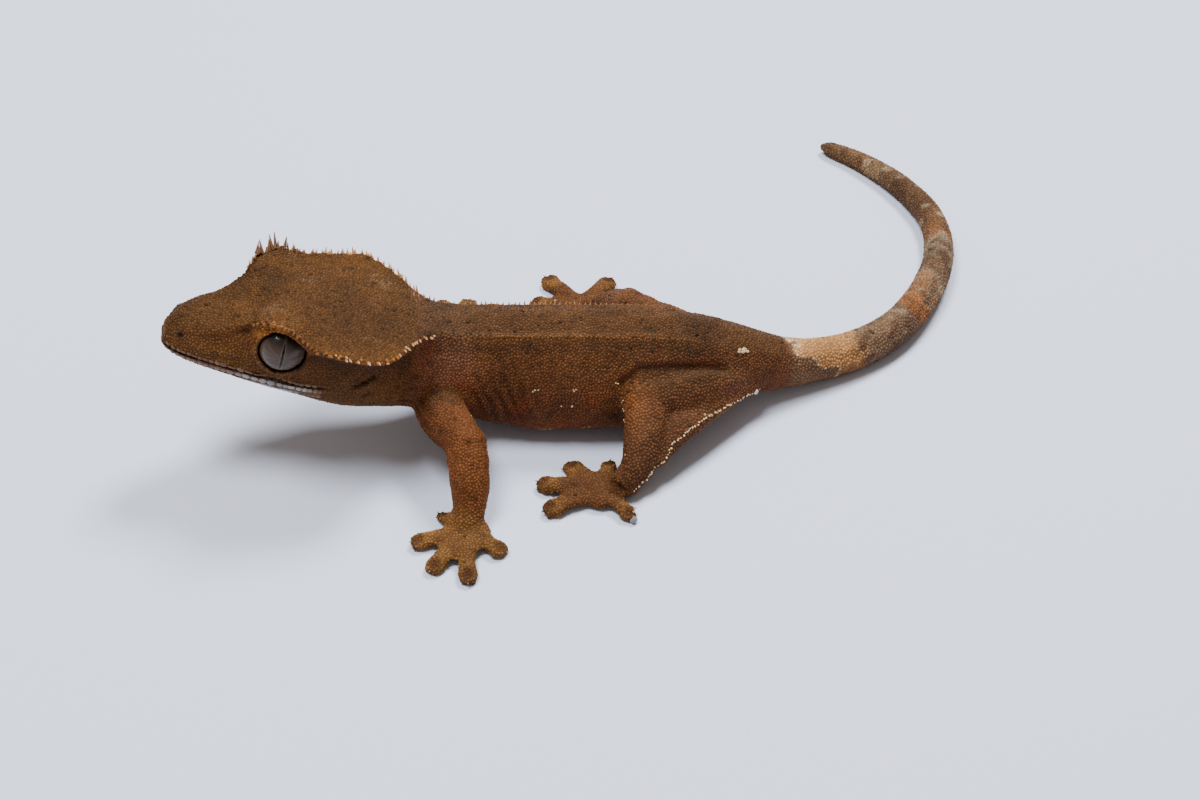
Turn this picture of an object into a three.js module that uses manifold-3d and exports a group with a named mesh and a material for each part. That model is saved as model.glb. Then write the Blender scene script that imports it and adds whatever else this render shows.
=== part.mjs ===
// A young crested gecko at life size: a still display model with its head raised and turned a little
// to its left, its belly low and its tail curled round behind its right side.
// Millimetres. The floor is Z = 0, +Z is up, the snout points to -X and the animal's left side is -Y.
import * as THREE from "three";
import { mergeVertices } from "three/addons/utils/BufferGeometryUtils.js";
import Module from "manifold-3d";

const wasm = await Module();
wasm.setup();

// Driving dimensions
const GAP = 0.3; // kept between neighbouring pieces
const SKULL_LENGTH = 24; // the straight stretch of the axis behind the snout tip
const HEAD_YAW = -10; // degrees; the snout turns towards the left side
const HEAD_PITCH = 16; // degrees; the snout is raised
const SNOUT_TIP = new THREE.Vector3(-48.3, -8.2, 16.9);
const MOUTH_LENGTH = 18; // from the snout tip back to the corner of the mouth
const EYE_RADIUS = 2.75;
const EYE_PLACE = new THREE.Vector3(12.2, 5.35, 4.2); // behind the snout tip, out to the side, up
const LID_THICKNESS = 0.5;
const LID_STEP = 0.9; // the lid ring stands this far out from the middle of the eye
const NOSTRIL_PLACE = new THREE.Vector3(1.5, 2.35, 2.1);
const NOSTRIL_SIZE = new THREE.Vector3(0.45, 0.5, 0.35);
const EAR_PLACE = new THREE.Vector3(21.5, 7.2, 2.2);
const EAR_SIZE = new THREE.Vector3(0.95, 0.9, 0.42);
const SPINE_ROOT = 0.35; // a spine reaches this far into the skin
const TOE_WIDTH = 1.25;
const TOE_FLATNESS = 0.6;
const WEB_FLATNESS = 0.52; // of the fold of skin behind each thigh
const RINGS_PER_MM = 0.72;
const LIMB_RINGS_PER_MM = 0.9;

// Small helpers
const UP = new THREE.Vector3(0, 0, 1);
const v3 = (x, y, z) => new THREE.Vector3(x, y, z);
const v2 = (x, y) => new THREE.Vector2(x, y);
const radians = THREE.MathUtils.degToRad;

// A smooth value along a length, from knots of [position, value]; it never overshoots its knots.
function profile(...knots) {
  const slope = knots.map(([x, y], i) => {
    if (i === 0 || i === knots.length - 1) return 0;
    const before = (y - knots[i - 1][1]) / (x - knots[i - 1][0]);
    const after = (knots[i + 1][1] - y) / (knots[i + 1][0] - x);
    return before * after <= 0 ? 0 : (2 * before * after) / (before + after);
  });
  return (s) => {
    if (s <= knots[0][0]) return knots[0][1];
    for (let i = 1; i < knots.length; i++) {
      if (s > knots[i][0]) continue;
      const [x0, y0] = knots[i - 1];
      const [x1, y1] = knots[i];
      const run = x1 - x0;
      const t = (s - x0) / run;
      return (
        (1 + 2 * t) * (1 - t) ** 2 * y0 +
        t * (1 - t) ** 2 * run * slope[i - 1] +
        t * t * (3 - 2 * t) * y1 +
        t * t * (t - 1) * run * slope[i]
      );
    }
    return knots[knots.length - 1][1];
  };
}

// A closed three.js geometry as a solid that faces outwards.
function solid(geometry) {
  const bare = geometry.clone();
  bare.deleteAttribute("normal");
  bare.deleteAttribute("uv");
  const merged = mergeVertices(bare, 1e-4);
  const corners = new Uint32Array(merged.index.array);
  const made = () =>
    new wasm.Manifold(
      new wasm.Mesh({ numProp: 3, vertProperties: merged.attributes.position.array, triVerts: corners }),
    );
  if (made().volume() > 0) return made();
  for (let i = 0; i < corners.length; i += 3)
    [corners[i + 1], corners[i + 2]] = [corners[i + 2], corners[i + 1]];
  return made();
}

// A cylinder whose wall is laid onto a surface: place(turn, along) gives the point for a turn of 0 to 1
// round the tube and a share of 0 to 1 along it, and each end closes flat on the middle of its ring.
function tube(sides, rings, place) {
  const geometry = new THREE.CylinderGeometry(1, 1, 1, sides, rings);
  const position = geometry.getAttribute("position");
  const ends = [0, 1].map((along) => {
    const middle = v3(0, 0, 0);
    for (let i = 0; i < sides; i++) middle.addScaledVector(place(i / sides, along), 1 / sides);
    return middle;
  });
  for (let i = 0; i < position.count; i++) {
    const [x, y, z] = [position.getX(i), position.getY(i), position.getZ(i)];
    const along = y + 0.5;
    const turn = (Math.atan2(x, z) / (2 * Math.PI) + 1) % 1;
    const onAxis = Math.hypot(x, z) < 0.5;
    const point = onAxis ? ends[Math.round(along)] : place(turn, along);
    position.setXYZ(i, point.x, point.y, point.z);
  }
  return solid(geometry);
}

// A box with given corners in a frame of [origin, x, y, z] directions.
function boxIn(frame, low, high) {
  const geometry = new THREE.BoxGeometry(high.x - low.x, high.y - low.y, high.z - low.z);
  geometry.translate((low.x + high.x) / 2, (low.y + high.y) / 2, (low.z + high.z) / 2);
  geometry.applyMatrix4(frame);
  return solid(geometry);
}

const FLOOR_REACH = 200;
const underFloor = boxIn(
  new THREE.Matrix4(),
  v3(-FLOOR_REACH, -FLOOR_REACH, -FLOOR_REACH),
  v3(FLOOR_REACH, FLOOR_REACH, 0),
);

const joined = (solids) => solids.reduce((whole, piece) => whole.add(piece));

// Only the largest closed surface of a solid, facing out.
function largest(made) {
  const shells = made.decompose().sort((a, b) => b.volume() - a.volume());
  return shells[0];
}

// The axis of the body, from the snout tip to the tail tip

const backward = v3(
  Math.cos(radians(HEAD_YAW)) * Math.cos(radians(HEAD_PITCH)),
  -Math.sin(radians(HEAD_YAW)) * Math.cos(radians(HEAD_PITCH)),
  -Math.sin(radians(HEAD_PITCH)),
);
const onSkull = (t) => SNOUT_TIP.clone().addScaledVector(backward, t);
const axis = new THREE.CatmullRomCurve3(
  [
    ...[0, 6, 12, 18, SKULL_LENGTH].map(onSkull),
    v3(-18.9, -3.0, 8.6), // neck
    v3(-13.5, -2.2, 7.7), // shoulders
    v3(-7.0, -1.9, 7.5),
    v3(0.0, -1.8, 7.5), // mid torso
    v3(4.8, -1.3, 7.4),
    v3(9.2, -0.6, 7.0), // hips
    v3(13.7, 0.3, 6.2),
    v3(17.9, 1.4, 4.9), // vent
    v3(22.1, 2.6, 3.7), // tail base
    v3(29.5, 5.9, 2.5),
    v3(35.0, 10.2, 2.35),
    v3(39.3, 16.8, 2.2),
    v3(41.9, 24.5, 1.95),
    v3(41.8, 32.4, 1.7),
    v3(38.5, 39.6, 1.45),
    v3(33.6, 45.4, 1.15),
    v3(28.9, 48.9, 0.95), // tail tip
  ],
  false,
  "centripetal",
);
axis.arcLengthDivisions = 2000;
const BODY_LENGTH = axis.getLength();

// The frame at a distance s behind the snout tip: origin, backward, left and up.
function station(s) {
  const share = THREE.MathUtils.clamp(s / BODY_LENGTH, 0, 1);
  const origin = axis.getPointAt(share);
  const back = axis.getTangentAt(share);
  const up = UP.clone().addScaledVector(back, -UP.dot(back)).normalize();
  const left = new THREE.Vector3().crossVectors(back, up).normalize();
  return { origin, back, left, up };
}

// Profiles of the body by distance behind the snout tip. Heights are measured from the axis, which
// follows the line of the mouth in the head and the middle of the body further back.

const NECK_AT = 27.5; // where the head ends
const SHOULDER_AT = 34.5; // where the neck ends
const HIPS_AT = 57;
const TAIL_AT = 72;

const topHeight = profile(
  [0, 1.9], [0.4, 2.9], [1.2, 3.7], [4, 4.4], [7, 5.1], [9, 6.3], [12, 7.6], [15, 8.0], [19, 8.1],
  [24, 7.9], [28, 7.3], [32, 7.3], [38, 7.6], [52, 7.3], [60, 5.9], [66, 4.3], [71, 3.2], [77, 2.6],
  [90, 2.4], [104, 2.1], [120, 1.65], [BODY_LENGTH - 1.2, 1.05], [BODY_LENGTH, 0.5],
);
const crestWidth = profile(
  [0, 1.2], [0.5, 2.1], [3, 2.6], [6.7, 3.6], [7.9, 4.8], [9.2, 5.9], [12.5, 7.4], [15, 8.7], [18, 9.2],
  [21.5, 9.7], [23.5, 9.1], [26, 6.2], [28.5, 4.0], [32, 3.0], [40, 3.0], [56, 3.0], [66, 2.4],
  [72, 1.9], [77, 1.6], [104, 1.3], [BODY_LENGTH - 1.2, 0.7], [BODY_LENGTH, 0.4],
);
const crestHeight = profile(
  [0, 1.4], [0.5, 2.6], [3, 3.4], [6.7, 4.7], [7.8, 6.8], [9.1, 8.1], [12, 8.3], [15, 6.9], [18, 6.8],
  [22, 7.0], [24, 7.1], [26, 7.2], [28.5, 6.8], [31, 6.3], [34, 6.2], [52, 6.0], [60, 4.7], [66, 3.6],
  [71, 2.7], [77, 2.0], [104, 1.5], [BODY_LENGTH - 1.2, 0.8], [BODY_LENGTH, 0.35],
);
const templeWidth = profile(
  [0, 1.1], [1, 2.0], [3, 2.9], [8, 4.3], [12, 6.0], [16, 6.6], [22, 7.4], [26, 5.8], [30, 4.4],
  [36, 4.6], [52, 5.2], [60, 4.4], [66, 3.5], [72, 2.5], [77, 2.15], [104, 1.75],
  [BODY_LENGTH - 1.2, 0.95], [BODY_LENGTH, 0.5],
);
const templeHeight = profile(
  [0, 0.7], [1, 1.5], [3, 2.3], [8, 3.2], [12, 4.2], [18, 4.4], [24, 4.3], [30, 3.6], [38, 3.4],
  [52, 3.4], [62, 2.6], [72, 1.4], [77, 0.9], [BODY_LENGTH, 0.2],
);
const sideWidth = profile(
  [0, 1.2], [1, 2.3], [3, 3.3], [8, 4.9], [12, 6.0], [17, 6.9], [22, 7.3], [26, 6.2], [30, 5.2],
  [36, 5.7], [42, 6.3], [50, 6.6], [56, 6.0], [62, 5.0], [68, 3.7], [72, 2.9], [77, 2.55], [90, 2.4],
  [104, 2.1], [120, 1.65], [BODY_LENGTH - 1.2, 1.05], [BODY_LENGTH, 0.5],
);
const sideHeight = profile(
  [0, 0.3], [3, 0.5], [12, 0.6], [20, 0.6], [28, 0.2], [36, -0.4], [56, -0.6], [72, -0.3], [90, 0],
);
const foldWidth = profile(
  [0, 0.9], [1, 1.7], [3, 2.5], [8, 3.9], [14, 5.3], [20, 6.0], [25, 5.0], [30, 4.1], [36, 4.6],
  [44, 5.6], [54, 5.4], [62, 3.9], [68, 2.9], [72, 2.3], [77, 1.9], [104, 1.5],
  [BODY_LENGTH - 1.2, 0.8], [BODY_LENGTH, 0.4],
);
const foldHeight = profile(
  [0, -0.3], [1, -0.8], [3, -1.3], [8, -1.7], [14, -2.0], [20, -2.5], [28, -3.0], [36, -4.6],
  [44, -5.6], [54, -5.4], [62, -3.5], [68, -2.7], [72, -2.3], [77, -1.9], [104, -1.45],
  [BODY_LENGTH - 1.2, -0.75], [BODY_LENGTH, -0.35],
);
const bottomDepth = profile(
  [0, 0.5], [1, 1.2], [3, 1.8], [8, 2.2], [14, 3.2], [20, 4.5], [26, 5.2], [30, 5.4], [36, 6.1],
  [44, 6.7], [54, 6.6], [62, 5.2], [68, 3.9], [72, 3.2], [77, 2.75], [90, 2.5], [104, 2.15],
  [120, 1.75], [BODY_LENGTH - 1.2, 1.05], [BODY_LENGTH, 0.5],
);

const BACK_STEPS = 3; // faces from the midline of the back to the crest
const FLANK_STEPS = 9; // faces from the crest to the midline of the belly
const HALF_STEPS = BACK_STEPS + FLANK_STEPS;
const CROWN_SHARE = 0.55; // where the middle of the back curve lies between midline and crest
const KEEL_SHARE = 0.5; // where the belly turns level, as a share of the fold's width
const KEEL_DEPTH = 0.97; // and of the full depth

// Half a cross-section as [width, height], from the back (0) over the crest to the belly (1).
function halfSection(s, share, grow) {
  const crest = v2(crestWidth(s) + grow, crestHeight(s) + grow);
  const step = share * HALF_STEPS;
  if (step <= BACK_STEPS) {
    const height = topHeight(s) * CROWN_SHARE + crestHeight(s) * (1 - CROWN_SHARE) + grow;
    const crown = v2(crest.x * CROWN_SHARE, height);
    return new THREE.SplineCurve([v2(0, topHeight(s) + grow), crown, crest]).getPoint(step / BACK_STEPS);
  }
  const flank = new THREE.SplineCurve([
    crest,
    v2(templeWidth(s) + grow, templeHeight(s)),
    v2(sideWidth(s) + grow, sideHeight(s)),
    v2(foldWidth(s) + grow, foldHeight(s) - grow * 0.5),
    v2(foldWidth(s) * KEEL_SHARE, -bottomDepth(s) * KEEL_DEPTH - grow),
    v2(0, -bottomDepth(s) - grow),
  ]);
  return flank.getPoint((step - BACK_STEPS) / FLANK_STEPS);
}

// A point on the skin at a distance s, with side 1 for left and -1 for right.
function skinPoint(s, side, share, grow = 0) {
  const { origin, left, up } = station(s);
  const { x, y } = halfSection(s, share, grow);
  return origin.clone().addScaledVector(left, side * x).addScaledVector(up, y);
}

// A length of the body with flat ends.
function bodyLength(from, to, grow = 0, sides = 2 * HALF_STEPS) {
  const rings = Math.max(3, Math.round((to - from) * RINGS_PER_MM));
  return tube(sides, rings, (turn, along) => {
    const s = from + (to - from) * along;
    return turn <= 0.5 ? skinPoint(s, 1, turn * 2, grow) : skinPoint(s, -1, 2 - turn * 2, grow);
  });
}

// Spines

// Repeatable variation between 0 and 1.
let seed = 20;
const chance = () => {
  seed = (seed * 16807) % 2147483647;
  return seed / 2147483647;
};

// A tapered spine whose root is sunk into the skin.
function spine(root, direction, length, radius) {
  const geometry = new THREE.ConeGeometry(radius, length + SPINE_ROOT, 4, 1);
  geometry.translate(0, (length - SPINE_ROOT) / 2, 0);
  geometry.applyQuaternion(new THREE.Quaternion().setFromUnitVectors(v3(0, 1, 0), direction));
  geometry.translate(root.x, root.y, root.z);
  return solid(geometry);
}

// A row of spines along the crest, from one distance to another, leaning out to the side.
const CREST_SHARE = BACK_STEPS / HALF_STEPS;
function crestSpines(from, to, step, length, radius, outward, side) {
  const made = [];
  for (let s = from; s < to; s += step * (0.85 + 0.3 * chance())) {
    const root = skinPoint(s, side, CREST_SHARE);
    const { left, up, back } = station(s);
    const direction = left.clone().multiplyScalar(side * outward);
    direction.add(up).addScaledVector(back, 0.35 * (chance() - 0.5)).normalize();
    made.push(spine(root, direction, length(s) * (0.75 + 0.5 * chance()), radius));
  }
  return made;
}

// The head: one solid with brow spines, lid rims, eye sockets, nostrils and ear openings

const headFrame = new THREE.Matrix4().makeBasis(
  backward,
  station(1).left,
  station(1).up,
);
headFrame.setPosition(SNOUT_TIP);
const onSide = (place, side) => v3(place.x, side * place.y, place.z).applyMatrix4(headFrame);

function ball(centre, radii, sides = 16, rings = 10) {
  const geometry = new THREE.SphereGeometry(1, sides, rings);
  geometry.scale(radii.x, radii.y, radii.z);
  geometry.applyMatrix4(headFrame.clone().setPosition(centre));
  return solid(geometry);
}

const eyeBall = (side, grow) =>
  ball(onSide(EYE_PLACE, side), v3(1, 1, 1).multiplyScalar(EYE_RADIUS + grow), 18, 11);

function lidRim(side) {
  const geometry = new THREE.TorusGeometry(EYE_RADIUS + 0.15, LID_THICKNESS, 5, 20);
  const facing = v3(-0.12, side, 0.1).normalize();
  geometry.applyQuaternion(new THREE.Quaternion().setFromUnitVectors(v3(0, 0, 1), facing));
  geometry.translate(EYE_PLACE.x - 0.1, side * (EYE_PLACE.y + LID_STEP), EYE_PLACE.z + 0.1);
  geometry.applyMatrix4(headFrame);
  return solid(geometry);
}

const headLength = bodyLength(0, NECK_AT - GAP / 2);
const headSpines = [1, -1].flatMap((side) => [
  ...crestSpines(9.4, 15, 0.75, (s) => 1.3 - 0.08 * Math.abs(s - 12), 0.27, 0.8, side),
  ...crestSpines(15.4, NECK_AT - 1, 1.1, () => 0.6, 0.3, 1.6, side),
]);
const HEAD_REACH = 14; // beyond the sides and the underside of the head
const jawBox = (grow) =>
  boxIn(
    headFrame,
    v3(-HEAD_REACH, -HEAD_REACH, -HEAD_REACH),
    v3(MOUTH_LENGTH + grow, HEAD_REACH, grow - GAP / 2),
  );
const headWhole = joined([headLength, lidRim(1), lidRim(-1), ...headSpines]);
const headCuts = joined([
  eyeBall(1, GAP),
  eyeBall(-1, GAP),
  ...[1, -1].flatMap((side) => [
    ball(onSide(NOSTRIL_PLACE, side), NOSTRIL_SIZE, 8, 6),
    ball(onSide(EAR_PLACE, side), EAR_SIZE, 10, 6),
  ]),
]);
const head = largest(headWhole.subtract(headCuts).subtract(jawBox(GAP)));
const lowerJaw = largest(headLength.subtract(headCuts).intersect(jawBox(0)));

// A limb: a round tube through [x, y, z, radius] points, between two shares of its length.
function limb(points, grow = 0, from = 0, to = 1, sides = 12, flatness = 1) {
  const curve = new THREE.CatmullRomCurve3(points.map(([x, y, z]) => v3(x, y, z)));
  const radius = profile(...points.map((point, i) => [i / (points.length - 1), point[3]]));
  const rings = Math.max(2, Math.round(curve.getLength() * (to - from) * LIMB_RINGS_PER_MM));
  return tube(sides, rings, (turn, along) => {
    const share = from + (to - from) * along;
    const at = curve.getUtoTmapping(share);
    const middle = curve.getPoint(at);
    const ahead = curve.getTangent(at);
    const side = new THREE.Vector3().crossVectors(UP, ahead);
    side.normalize();
    const over = new THREE.Vector3().crossVectors(ahead, side);
    const angle = 2 * Math.PI * turn;
    const r = radius(at) + grow;
    return middle
      .addScaledVector(side, r * Math.sin(angle))
      .addScaledVector(over, r * flatness * Math.cos(angle));
  });
}

function roundBall([x, y, z], r) {
  const geometry = new THREE.SphereGeometry(r, 12, 8);
  geometry.translate(x, y, z);
  return solid(geometry);
}

// Toes: flattened and widest at the pad, with a small claw at the tip; they press on the floor.
function toe(root, tip, width) {
  const along = (share, z) => root.clone().lerp(tip, share).setZ(z).toArray();
  const points = [
    [...along(0, root.z), width * 1.1],
    [...along(0.5, 1.0), width * 0.88],
    [...along(0.8, 0.5), width * 1.1],
    [...along(0.97, 0.42), width * 0.75],
  ];
  const claw = tip.clone().sub(root).setZ(0).normalize();
  claw.z = 0.2;
  const made = limb(points, 0, 0, 1, 8, TOE_FLATNESS);
  return made.add(spine(tip.clone().setZ(0.75), claw.normalize(), 0.4, 0.3));
}

// A foot: a low palm with its toes, flat on the floor.
function foot(palm, palmSize, toes, wrist) {
  const geometry = new THREE.SphereGeometry(1, 12, 7);
  geometry.scale(palmSize.x, palmSize.y, palmSize.z);
  geometry.translate(palm.x, palm.y, palm.z);
  const made = toes.map(([x, y, width = TOE_WIDTH]) => {
    const tip = v3(x, y, 0.6);
    const root = palm.clone().lerp(tip, 0.2).setZ(0.8);
    return toe(root, tip, width);
  });
  return largest(joined([solid(geometry), wrist, ...made]).subtract(underFloor));
}

// The trunk where the limbs join it, with the gap kept all round.
const trunkGrown = bodyLength(SHOULDER_AT - 9, TAIL_AT + 8, GAP);

// A leg in three pieces; the joint ball belongs to the lower piece and is seated in the upper one.
const WRIST_AT = 0.86; // where the foot begins along the lower piece
const WRIST_GAP = GAP / 10; // the same gap as a share of the lower piece's length
function leg(upper, lower, palm, palmSize, toes, web = []) {
  const joint = upper[upper.length - 1];
  const lowerPiece = (grow) =>
    limb(lower, grow, 0, WRIST_AT).add(roundBall(joint, joint[3] + grow));
  const thigh = joined([limb(upper), ...web]).subtract(lowerPiece(GAP)).subtract(trunkGrown);
  const wrist = limb(lower, 0, WRIST_AT + WRIST_GAP, 1);
  const end = foot(palm, palmSize, toes, wrist);
  const clearEnd = largest(end.subtract(limb(lower, GAP, 0, WRIST_AT)));
  return [largest(thigh), largest(lowerPiece(0).subtract(trunkGrown)), clearEnd];
}

const leftArm = leg(
  [[-19.4, -3.0, 5.8, 2.9], [-17.8, -9.2, 6.3, 2.9], [-14.8, -15.0, 6.9, 2.45]],
  [
    [-14.8, -15.0, 6.9, 2.45], [-14.4, -17.9, 4.7, 2.4], [-14.4, -20.2, 2.4, 2.0],
    [-14.7, -22.0, 1.1, 1.7],
  ],
  v3(-14.7, -22.8, 0.7),
  v3(2.9, 2.7, 1.15),
  [[-18, -19.4, 1.0], [-20.9, -24.2], [-18.6, -28.6], [-14.2, -30.3], [-10.2, -25.8]],
);
const rightArm = leg(
  [[-17.5, 0.5, 6.0, 2.4], [-14.5, 4.5, 5.6, 2.4], [-12.4, 8.4, 4.7, 2.1]],
  [[-12.4, 8.4, 4.7, 2.0], [-13.6, 10.4, 3.6, 1.9], [-15.0, 12.0, 2.2, 1.65], [-16.2, 13.6, 1.0, 1.35]],
  v3(-16.6, 14.0, 0.7),
  v3(2.2, 2.1, 1.0),
  [[-20.4, 10.6, 0.9], [-21.8, 13.8], [-20.2, 17.0], [-15.8, 17.6], [-11.8, 16.0]],
);

const leftLeg = leg(
  [[18.0, 0.6, 4.6, 2.3], [12.0, -4.0, 6.2, 3.0], [5.0, -7.2, 7.2, 2.4]],
  [[5.0, -7.2, 7.2, 2.35], [4.9, -10.8, 5.2, 2.35], [4.3, -14.2, 3.0, 2.1], [2.4, -16.0, 1.3, 1.8]],
  v3(0.2, -16.0, 0.75),
  v3(3.1, 2.8, 1.15),
  [[1.2, -10.9, 1.05], [-3.8, -11.4, 1.3], [-7.3, -14.7, 1.35], [-6.4, -19.3, 1.35], [3.8, -20.4, 1.1]],
  [
    limb(
      [[16.8, -1.4, 4.2, 2.2], [11.4, -6.0, 4.7, 2.9], [7.7, -10.2, 4.2, 2.6], [5.4, -13.5, 3.1, 2.1]],
      0, 0, 1, 12, WEB_FLATNESS,
    ),
  ],
);
const rightLeg = leg(
  [[17.6, 1.4, 4.6, 2.3], [10.5, 4.8, 5.2, 2.9], [3.6, 9.3, 6.4, 2.3]],
  [[3.6, 9.3, 6.5, 2.25], [2.8, 11.8, 4.6, 2.2], [0.8, 14.2, 2.6, 1.75], [-1.4, 15.6, 1.2, 1.5]],
  v3(-2.4, 15.6, 0.7),
  v3(3.0, 2.4, 1.1),
  [[-7.2, 12.4, 1.05], [-8.6, 17.0, 1.3], [-6.8, 22.0, 1.35], [1.5, 21.6, 1.35], [4.6, 17.2, 1.1]],
  [
    limb(
      [[16.4, 2.6, 4.2, 2.1], [11.2, 7.0, 4.2, 2.7], [6.9, 10.6, 3.9, 2.5], [3.8, 13.0, 2.9, 2.0]],
      0, 0, 1, 12, WEB_FLATNESS,
    ),
  ],
);

// The trunk and the tail, parted by gaps across the axis

const length = (from, to, extra = [], sides = 2 * HALF_STEPS) =>
  largest(
    joined([bodyLength(from + GAP / 2, to - GAP / 2, 0, sides), ...extra]).subtract(underFloor),
  );
const bumps = (from, to) =>
  [1, -1].flatMap((side) => crestSpines(from + 0.8, to - 0.5, 2.4, () => 0.32, 0.3, 1.2, side));

const group = new THREE.Group();
function show(name, made, colour, roughness = 0.75) {
  const { vertProperties, triVerts, numProp } = made.getMesh();
  const geometry = new THREE.BufferGeometry();
  const xyz = new Float32Array((vertProperties.length / numProp) * 3);
  for (let i = 0; i < xyz.length; i++)
    xyz[i] = vertProperties[Math.floor(i / 3) * numProp + (i % 3)];
  geometry.setAttribute("position", new THREE.BufferAttribute(xyz, 3));
  geometry.setIndex(new THREE.BufferAttribute(new Uint32Array(triVerts), 1));
  geometry.computeVertexNormals();
  const material = new THREE.MeshStandardMaterial({ color: colour, roughness, metalness: 0 });
  const mesh = new THREE.Mesh(geometry, material);
  mesh.name = name;
  group.add(mesh);
}

show("head", head, 0x603d23);
show("lower_jaw", lowerJaw, 0x5c3f2a);
show("eye_left", eyeBall(1, 0), 0x524945, 0.15);
show("eye_right", eyeBall(-1, 0), 0x524945, 0.15);
show("neck", length(NECK_AT, SHOULDER_AT, bumps(NECK_AT, SHOULDER_AT)), 0x5a3a24);
show("torso", length(SHOULDER_AT, HIPS_AT, bumps(SHOULDER_AT, HIPS_AT - 4)), 0x58371f);
show("hips", length(HIPS_AT, TAIL_AT), 0x4e2f1c);
const TAIL_PIECES = ["tail_base", "tail_front", "tail_middle", "tail_tip"];
const TAIL_COLOURS = [0xa2744a, 0x786050, 0x765a47, 0x84664d];
const tailShare = (i) => TAIL_AT + ((BODY_LENGTH - TAIL_AT) * i) / TAIL_PIECES.length;
TAIL_PIECES.forEach((name, i) => {
  const end = i === TAIL_PIECES.length - 1 ? BODY_LENGTH + GAP / 2 : tailShare(i + 1);
  show(name, length(tailShare(i), end, [], 16), TAIL_COLOURS[i]);
});
const LIMBS = {
  left: [["upper_arm", "forearm", "hand", leftArm], ["thigh", "shin", "foot", leftLeg]],
  right: [["upper_arm", "forearm", "hand", rightArm], ["thigh", "shin", "foot", rightLeg]],
};
for (const [side, limbs] of Object.entries(LIMBS))
  for (const [first, second, third, pieces] of limbs)
    [first, second, third].forEach((name, i) =>
      show(`${side}_${name}`, pieces[i], [0x5c3820, 0x5e3c22, 0x6e4a2a][i]),
    );

// The origin is the middle of the underside of the whole model.
const bounds = new THREE.Box3().setFromObject(group);
const middle = bounds.getCenter(v3(0, 0, 0));
const shift = v3(-middle.x, -middle.y, -bounds.min.z);
for (const mesh of group.children) mesh.geometry.translate(shift.x, shift.y, shift.z);

export default group;
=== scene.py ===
import math

import bmesh
import bpy
import numpy as np
from mathutils import Matrix, Vector
from mathutils.bvhtree import BVHTree
from mathutils.kdtree import KDTree


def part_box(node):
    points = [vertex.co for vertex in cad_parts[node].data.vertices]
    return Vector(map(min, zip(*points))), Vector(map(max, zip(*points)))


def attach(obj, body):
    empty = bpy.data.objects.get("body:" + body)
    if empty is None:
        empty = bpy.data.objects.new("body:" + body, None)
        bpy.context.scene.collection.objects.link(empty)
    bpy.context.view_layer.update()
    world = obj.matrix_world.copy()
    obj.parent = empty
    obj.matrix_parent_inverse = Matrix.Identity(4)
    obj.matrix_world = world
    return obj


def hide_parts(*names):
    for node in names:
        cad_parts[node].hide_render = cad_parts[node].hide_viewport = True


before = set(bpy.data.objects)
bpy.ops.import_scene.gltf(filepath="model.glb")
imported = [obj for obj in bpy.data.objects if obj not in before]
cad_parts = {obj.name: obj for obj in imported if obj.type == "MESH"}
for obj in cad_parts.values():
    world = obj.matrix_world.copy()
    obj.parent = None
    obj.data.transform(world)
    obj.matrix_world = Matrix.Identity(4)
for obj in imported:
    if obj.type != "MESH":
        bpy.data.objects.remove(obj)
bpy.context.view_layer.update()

MM = 0.001
rng = np.random.default_rng(11)

# The head's own frame, from the two eyes: along the skull, out to the left and up, in millimetres
HEAD_PITCH = math.radians(16)
EYE_RADIUS = 2.62
EYE_RISE = 0.42  # how far the eyes and lids are moved up from their nodes
LID_CLOSING = 0.05  # share by which the lids close in around the eyes
EYE_BACK = 12.2  # from the snout tip back to the eyes
EYE_UP = 4.2  # from the mouth up to the nodes' eyes


def middle_of(node):
    low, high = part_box(node)
    return (Vector(low) + Vector(high)) / 2 / MM


eye_middles = {side: middle_of(f"eye_{side}") for side in ("left", "right")}
to_left = (eye_middles["left"] - eye_middles["right"]).normalized()
level_back = Vector((-to_left.y, to_left.x, 0))
to_back = level_back * math.cos(HEAD_PITCH) - Vector((0, 0, math.sin(HEAD_PITCH)))
to_top = level_back * math.sin(HEAD_PITCH) + Vector((0, 0, math.cos(HEAD_PITCH)))
between_eyes = (eye_middles["left"] + eye_middles["right"]) / 2
snout_tip = between_eyes - to_back * EYE_BACK - to_top * EYE_UP
for middle in eye_middles.values():
    middle += to_top * EYE_RISE
HEAD_AXES = np.array([to_back, to_left, to_top])

# The place near the middle of the floor that the markings and the camera are set out from
SNOUT_FROM_AIM = Vector((-48.3, -8.2, 16.9))
aim = snout_tip - SNOUT_FROM_AIM
AIM = np.array(aim)


def in_head(points):
    """Points, in millimetres, as (behind the snout tip, to the left, above the mouth)."""
    return (points - np.array(snout_tip)) @ HEAD_AXES.T


def from_head(along, left, up):
    return snout_tip + to_back * along + to_left * left + to_top * up


def smooth_step(low, high, value):
    share = np.clip((value - low) / (high - low), 0, 1)
    return share * share * (3 - 2 * share)


def hump(value, centre, width):
    return np.exp(-(((value - centre) / width) ** 2))


def distance_from(points, middle):
    return np.linalg.norm(points - np.array(middle), axis=1)


def mottle(points, size, seed, layers=7):
    """A smooth random field of about -1 to 1 whose patches are size millimetres across."""
    draws = np.random.default_rng(seed)
    total = np.zeros(len(points))
    for _ in range(layers):
        direction = draws.normal(size=3)
        direction *= math.tau / (size * 2.2) / np.linalg.norm(direction) * draws.uniform(0.7, 1.5)
        total += np.sin(points @ direction + draws.uniform(0, math.tau))
    return total / math.sqrt(layers)


def knots(value, *pairs):
    return np.interp(value, [p[0] for p in pairs], [p[1] for p in pairs])


# Colours, as the eye sees them, turned to the linear values that materials take

def linear(red, green, blue):
    shares = np.array([red, green, blue]) / 255
    return np.where(shares <= 0.04045, shares / 12.92, ((shares + 0.055) / 1.055) ** 2.4)


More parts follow.
